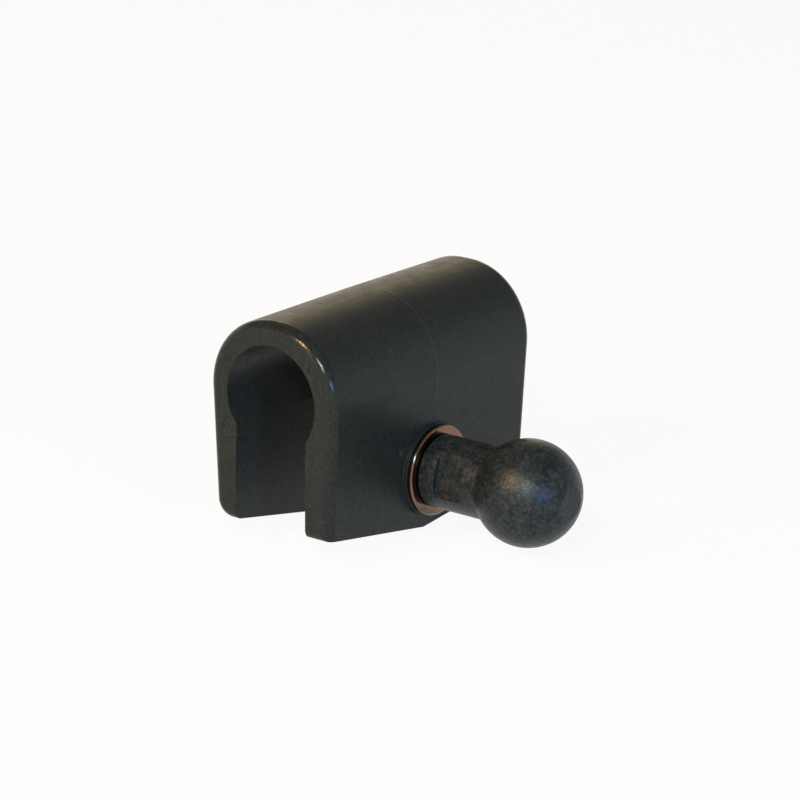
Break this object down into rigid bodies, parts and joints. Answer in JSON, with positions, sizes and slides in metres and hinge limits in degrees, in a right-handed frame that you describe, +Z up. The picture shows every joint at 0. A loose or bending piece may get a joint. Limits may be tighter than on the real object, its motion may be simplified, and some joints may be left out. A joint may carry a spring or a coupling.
{
  "type": "clip-on angle ball joint",
  "caption": "Saddle clip with a slotted round bore that snaps over a rod, carrying a ball stud at right angles to the rod on one leg.",
  "frame": {"origin": "on the rod bore's axis, half way along the body, in the mould's parting plane", "axes": "+Y along the rod bore, towards the raked end; +X towards the ball; +Z up, away from the open slot"},
  "size_m": [0.0301, 0.03, 0.0224],
  "materials": {
    "moulded_body": "black glass-filled nylon, moulded, dull satin skin with a fine parting line",
    "blackened_steel": "turned steel, phosphated and oiled, fine grainy black",
    "plated_steel": "zinc plate with yellow chromate, bright, faintly iridescent"
  },
  "bodies": {
    "root": {"clip_body": "moulded_body", "ball_stud": "blackened_steel", "seat_washer": "plated_steel"}
  },
  "joints": []
}
